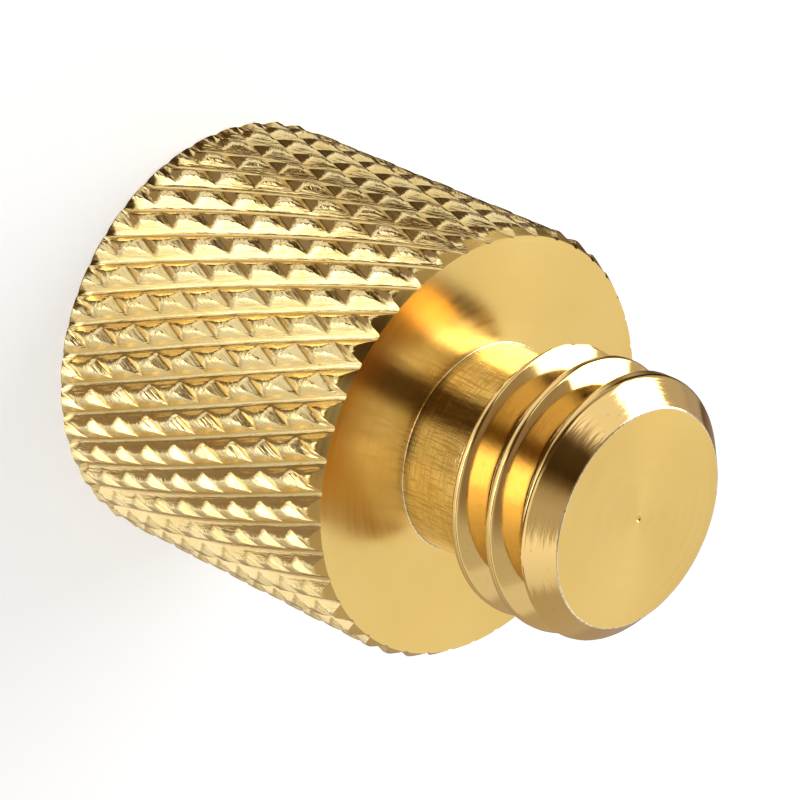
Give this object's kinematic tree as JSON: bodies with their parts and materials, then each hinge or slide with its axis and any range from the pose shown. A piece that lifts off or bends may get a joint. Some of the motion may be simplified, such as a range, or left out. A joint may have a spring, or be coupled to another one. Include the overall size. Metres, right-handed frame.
{
  "type": "tripod screw adapter",
  "caption": "Knurled brass thread adapter for tripods: a cylindrical grip with a coarse male stud on its front face and a smaller tapped blind hole in its back.",
  "frame": {"origin": "centre of the flat back face, round the mouth of the tapped hole, on which the part stands", "axes": "+Z along the screw's axis, from the back face towards the end of the male stud"},
  "size_m": [0.0156, 0.0156, 0.0204],
  "materials": {
    "brass": "bright turned and knurled brass"
  },
  "bodies": {
    "root": {"screw_adapter": "brass"}
  },
  "joints": []
}
